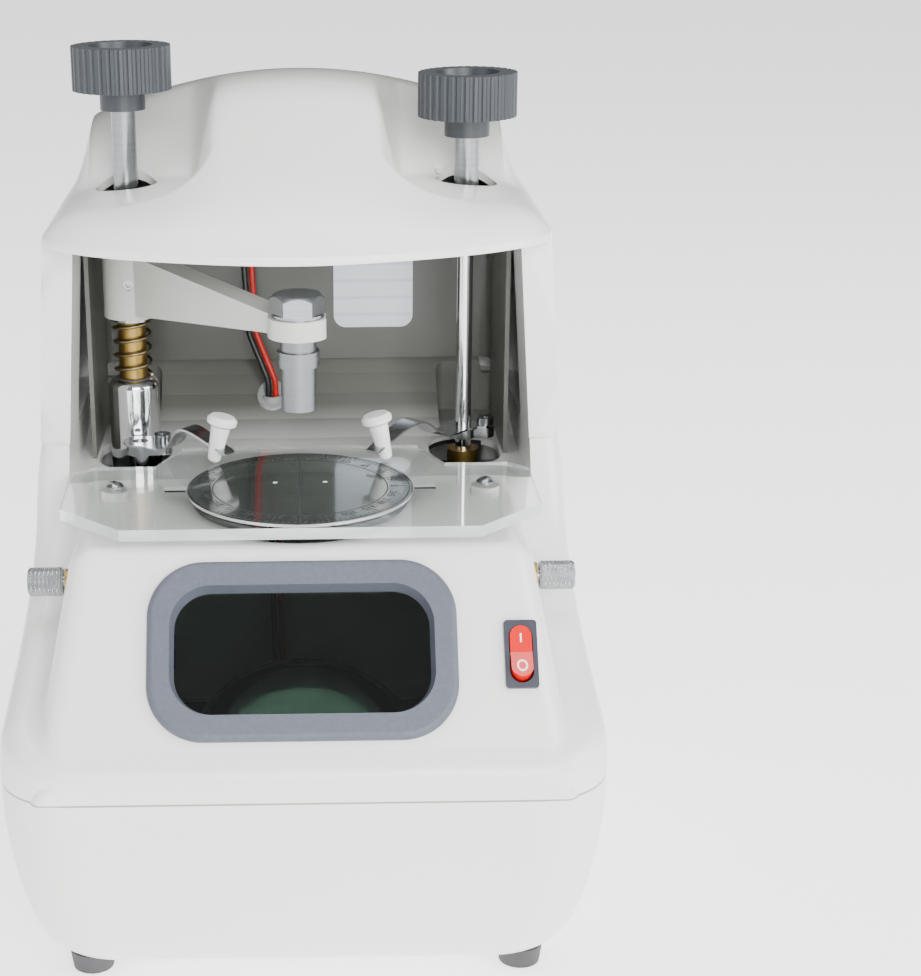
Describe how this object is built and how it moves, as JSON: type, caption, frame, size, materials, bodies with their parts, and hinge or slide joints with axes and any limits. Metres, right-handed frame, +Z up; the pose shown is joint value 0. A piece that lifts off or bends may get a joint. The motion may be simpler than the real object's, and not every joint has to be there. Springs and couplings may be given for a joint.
{
  "type": "lensmeter",
  "caption": "Bench-top lens centring and blocking machine with a hooded stage, a viewing window, a spring-returned press with a swinging arm, and a sprung lens clamp",
  "frame": {"origin": "middle of the base on the surface that the rubber feet stand on", "axes": "+Z up, +Y away from the operator, +X to the operator's right"},
  "size_m": [0.2032, 0.23, 0.2972],
  "materials": {
    "housing_paint": "satin off-white enamel",
    "bezel_paint": "satin slate grey",
    "knob_paint": "satin slate grey",
    "arm_metal": "painted casting, light grey",
    "zinc_sheet": "zinc plated sheet",
    "steel": "turned steel",
    "spring_steel": "bright spring steel",
    "chrome": "polished",
    "brass": "turned, dull",
    "aluminium": "turned",
    "rubber": "black",
    "wiper": "black",
    "liner_grey": "grey painted sheet",
    "grey_plastic": "grey",
    "label": "printed foil, blank",
    "window_glass": "dark tinted",
    "clear_glass": "clear",
    "mirror": "silvered",
    "clear_acrylic": "clear, polished edges",
    "reticle": "etched, half silvered",
    "switch_plastic": "black",
    "rocker_red": "red",
    "lamp_lens": "frosted",
    "board": "green circuit board",
    "wire_red": "red insulation",
    "wire_black": "black insulation",
    "pad_plastic": "white nylon"
  },
  "bodies": {
    "base": {"lower_housing": "housing_paint", "base_plate": "zinc_sheet", "rubber_feet": "rubber", "upper_housing": "housing_paint", "case_screws": "steel", "hood": "housing_paint", "hood_ceiling": "grey_plastic", "inner_liner": "liner_grey", "blank_label": "label", "upper_bushes": "brass", "window_bezel": "bezel_paint", "window_glass": "window_glass", "mirror": "mirror", "mirror_bracket": "zinc_sheet", "stage_plate": "clear_acrylic", "reticle_disc": "reticle", "disc_keys": "grey_plastic", "stage_standoffs": "steel", "stage_screws": "steel", "switch_body": "switch_plastic", "lamp_housing": "aluminium", "led_board": "board", "lamp_lens": "lamp_lens", "lamp_wire_red": "wire_red", "lamp_wire_black": "wire_black", "wire_grommet": "rubber", "driver_board": "board", "dc_jack": "switch_plastic", "deck_bridge": "zinc_sheet", "inner_screws": "steel", "chrome_sleeve": "chrome", "sleeve_wiper": "wiper", "sleeve_nut": "steel", "clamp_guides": "brass", "shaft_bushes": "brass", "guide_rod": "steel"},
    "press_plunger": {"brass_tube": "brass", "spring_seat": "steel", "press_spring": "spring_steel"},
    "swing_arm": {"press_shaft": "steel", "press_knob": "knob_paint", "block_arm": "arm_metal", "arm_set_screw": "steel", "holder_bolt": "steel", "block_holder": "steel"},
    "lens_clamp": {"clamp_knob": "knob_paint", "clamp_shaft": "steel", "clamp_rod": "steel", "left_pin": "steel", "crossbar": "steel", "clamp_spring": "spring_steel", "leaf_arms": "spring_steel", "lens_pads": "pad_plastic", "leaf_clamps": "steel", "clamp_screws": "steel"},
    "rocker": {"switch_rocker": "rocker_red"},
    "line_screw": {"line_shaft": "steel", "knurled_knobs": "aluminium"},
    "carriage": {"line_carriage": "aluminium", "line_glass": "clear_glass"}
  },
  "joints": [
    {"name": "press_slide", "type": "slide", "parent": "base", "child": "press_plunger", "axis": [0, 0, -1], "range_m": [0, 0.016], "stiffness_N_per_m": 400, "springref_m": -0.02, "deforming": ["press_spring"]},
    {"name": "arm_swing", "type": "hinge", "parent": "press_plunger", "child": "swing_arm", "pos_m": [-0.0634, 0.0457, 0.21], "axis": [0, 0, 1], "range_deg": [-50, 0]},
    {"name": "clamp_lift", "type": "slide", "parent": "base", "child": "lens_clamp", "axis": [0, 0, 1], "range_m": [0, 0.01], "stiffness_N_per_m": 300, "springref_m": -0.015, "deforming": ["clamp_spring"]},
    {"name": "switch_tip", "type": "hinge", "parent": "base", "child": "rocker", "pos_m": [0.0721, -0.08902, 0.11161], "axis": [1, 0, 0], "range_deg": [0, 18]},
    {"name": "line_slide", "type": "slide", "parent": "base", "child": "carriage", "axis": [1, 0, 0], "range_m": [-0.01, 0.01]},
    {"name": "line_turn", "type": "hinge", "parent": "base", "child": "line_screw", "pos_m": [0, -0.05, 0.125], "axis": [1, 0, 0], "range_deg": [-721, 721]}
  ],
  "couplings": [
    {"joint": "line_turn", "follows": "line_slide", "rad_per_m": -1256.6}
  ]
}
